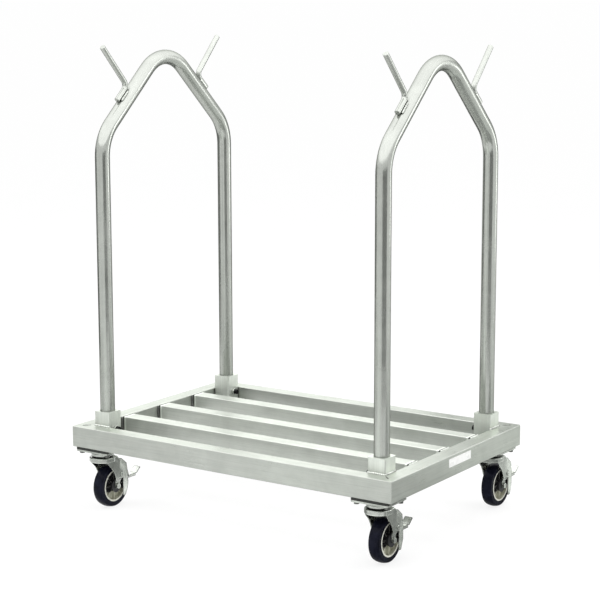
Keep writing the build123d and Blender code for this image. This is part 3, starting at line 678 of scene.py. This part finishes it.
def make_floor(half, white_share, glow_strength):
    """Pale floor, mostly plain white where it is seen, that keeps a faint shadow."""
    mesh = bpy.data.meshes.new("studio_floor")
    corners = [(-half, -half, 0.0), (half, -half, 0.0), (half, half, 0.0), (-half, half, 0.0)]
    mesh.from_pydata(corners, [], [(0, 1, 2, 3)])
    floor = bpy.data.objects.new("studio_floor", mesh)
    scene.collection.objects.link(floor)
    finish = Finish("floor_paper")
    cloud = finish.noise(finish.place.outputs["Object"], scale=2.0, detail=2.0)
    finish.set("Base Color", finish.mix(cloud, rgb(0.89, 0.89, 0.89), rgb(0.91, 0.91, 0.91)))
    finish.set("Roughness", 0.9)
    finish.set("Specular IOR Level", 0.0)
    glow = finish.add("ShaderNodeEmission")
    glow.inputs["Color"].default_value = WHITE
    glow.inputs["Strength"].default_value = glow_strength
    blend = finish.add("ShaderNodeMixShader")
    share = finish.math("MULTIPLY", shown_rays(finish.tree), white_share)
    finish.join(share, blend.inputs["Fac"])
    finish.join(finish.shader.outputs["BSDF"], blend.inputs[1])
    finish.join(glow.outputs["Emission"], blend.inputs[2])
    finish.join(blend.outputs["Shader"], finish.output.inputs["Surface"])
    dress(floor, finish.material)


def make_world(low, high, full_height):
    """White where it is seen or mirrored; a soft dome of light to everything else."""
    world = bpy.data.worlds.new("studio")
    scene.world = world
    world.use_nodes = True
    tree = world.node_tree
    tree.nodes.clear()
    output = tree.nodes.new("ShaderNodeOutputWorld")
    place = tree.nodes.new("ShaderNodeTexCoord")
    split = tree.nodes.new("ShaderNodeSeparateXYZ")
    tree.links.new(place.outputs["Generated"], split.inputs["Vector"])
    lift = tree.nodes.new("ShaderNodeMapRange")
    lift.inputs["From Min"].default_value = 0.0
    lift.inputs["From Max"].default_value = full_height
    lift.inputs["To Min"].default_value = low
    lift.inputs["To Max"].default_value = high
    tree.links.new(split.outputs["Z"], lift.inputs["Value"])
    dome = tree.nodes.new("ShaderNodeBackground")
    dome.inputs["Color"].default_value = WHITE
    tree.links.new(lift.outputs["Result"], dome.inputs["Strength"])
    plain = tree.nodes.new("ShaderNodeBackground")
    plain.inputs["Color"].default_value = WHITE
    plain.inputs["Strength"].default_value = 1.0
    blend = tree.nodes.new("ShaderNodeMixShader")
    tree.links.new(shown_rays(tree), blend.inputs["Fac"])
    tree.links.new(dome.outputs["Background"], blend.inputs[1])
    tree.links.new(plain.outputs["Background"], blend.inputs[2])
    tree.links.new(blend.outputs["Shader"], output.inputs["Surface"])


def show_in_mirrors(name, points, faces, level, green=1.03):
    """A stage card of an even tone that only shiny surfaces see."""
    mesh = bpy.data.meshes.new(name)
    mesh.from_pydata(points, [], faces)
    card = bpy.data.objects.new(name, mesh)
    scene.collection.objects.link(card)
    material = bpy.data.materials.new(name)
    material.use_nodes = True
    tree = material.node_tree
    tree.nodes.clear()
    output = tree.nodes.new("ShaderNodeOutputMaterial")
    glow = tree.nodes.new("ShaderNodeEmission")
    glow.inputs["Color"].default_value = rgb(level, level * green, level)
    tree.links.new(glow.outputs["Emission"], output.inputs["Surface"])
    mesh.materials.append(material)
    card.visible_camera = False
    card.visible_diffuse = False
    card.visible_shadow = False
    card.visible_transmission = False


def make_card(name, across, along, level):
    """A card on the floor, between two places in X and two in Y."""
    height = 0.003
    left, right = across
    front, back = along
    points = [(left, front, height), (right, front, height), (right, back, height), (left, back, height)]
    show_in_mirrors(name, points, [(0, 1, 2, 3)], level)


def ring_points(turns, distance, low, high):
    """A low and a high point at each turn round the set."""
    points = []
    for turn in turns:
        for z in (low, high):
            points.append((distance * math.cos(turn), distance * math.sin(turn), z))
    return points


def make_flag(name, azimuth, width, high, level):
    """A dark curved card that stands round the set, given in degrees."""
    low, distance, steps = 0.02, 2.5, 10
    turns = [math.radians(azimuth - width / 2 + width * step / steps) for step in range(steps + 1)]
    faces = [(2 * step, 2 * step + 2, 2 * step + 3, 2 * step + 1) for step in range(steps)]
    show_in_mirrors(name, ring_points(turns, distance, low, high), faces, level)


def make_sky(name, low, high, distance, level):
    """A bright wall and ceiling over the set."""
    steps = 24
    turns = [2 * math.pi * step / steps for step in range(steps)]
    faces = []
    for step in range(steps):
        after = (step + 1) % steps
        faces.append((2 * step, 2 * after, 2 * after + 1, 2 * step + 1))
    faces.append(tuple(2 * step + 1 for step in range(steps)))
    show_in_mirrors(name, ring_points(turns, distance, low, high), faces, level, green=0.99)


def make_lamp(name, place, aim_height, size, power, mirrored=True):
    """A panel lamp that faces the set's middle at a height."""
    data = bpy.data.lights.new(name, "AREA")
    data.shape = "RECTANGLE"
    data.size, data.size_y = size
    data.energy = power
    lamp = bpy.data.objects.new(name, data)
    lamp.location = place
    facing = Vector((0.0, 0.0, aim_height)) - Vector(place)
    lamp.rotation_euler = facing.to_track_quat("-Z", "Y").to_euler()
    lamp.visible_glossy = mirrored
    scene.collection.objects.link(lamp)


def make_camera():
    """The photograph's camera, fitted to the frame's corners and the uprights."""
    picture_pixels, focal_pixels = 600.0, 1737.5
    sensor = 36.0
    yaw, pitch, roll = math.radians(33.893), math.radians(9.851), math.radians(-0.114)
    distance = 4.919
    target = Vector((0.0131, DECK_Y, DECK_Z + 0.3662))
    level = math.cos(pitch)
    back = Vector((math.sin(yaw) * level, -math.cos(yaw) * level, math.sin(pitch)))
    data = bpy.data.cameras.new("photo_camera")
    data.sensor_width = sensor
    data.lens = sensor * focal_pixels / picture_pixels
    data.dof.use_dof = False
    camera = bpy.data.objects.new("photo_camera", data)
    camera.location = target + back * distance
    turn = (-back).to_track_quat("-Z", "Y").to_matrix() @ Matrix.Rotation(roll, 3, "Z")
    camera.rotation_euler = turn.to_euler()
    scene.collection.objects.link(camera)
    scene.camera = camera


make_floor(half=600.0, white_share=0.80, glow_strength=1.03)
make_world(low=0.65, high=1.05, full_height=0.9)
make_flag("left_flag", azimuth=-176.0, width=50.0, high=1.2, level=0.14)
make_flag("front_flag", azimuth=-38.0, width=50.0, high=1.2, level=0.20)
make_flag("rear_flag", azimuth=94.0, width=36.0, high=1.3, level=0.34)
make_card("floor_card", across=(-0.25, 2.4), along=(-0.5, 0.42), level=0.42)
make_card("far_card", across=(-0.25, 2.4), along=(0.42, 1.7), level=0.88)
make_card("rear_card", across=(-1.7, -0.45), along=(0.6, 2.0), level=0.12)
make_card("shade_card", across=(-2.3, -0.85), along=(-2.6, -0.9), level=0.74)
make_card("bright_card", across=(-0.45, 0.6), along=(-2.6, -0.9), level=1.22)
make_sky("sky_shell", low=2.0, high=4.0, distance=3.0, level=2.02)
make_lamp("key_panel", (-2.4, -2.2, 3.4), aim_height=0.3, size=(2.4, 2.4), power=60.0, mirrored=False)
make_lamp("top_panel", (0.9, 0.4, 3.6), aim_height=0.3, size=(2.2, 2.2), power=60.0, mirrored=False)
make_lamp("rear_panel", (-2.3, 3.3, 1.7), aim_height=0.3, size=(2.6, 1.6), power=10.0)
make_lamp("rim_panel", (2.9, 3.1, 1.1), aim_height=0.6, size=(0.9, 1.8), power=14.0)
make_camera()
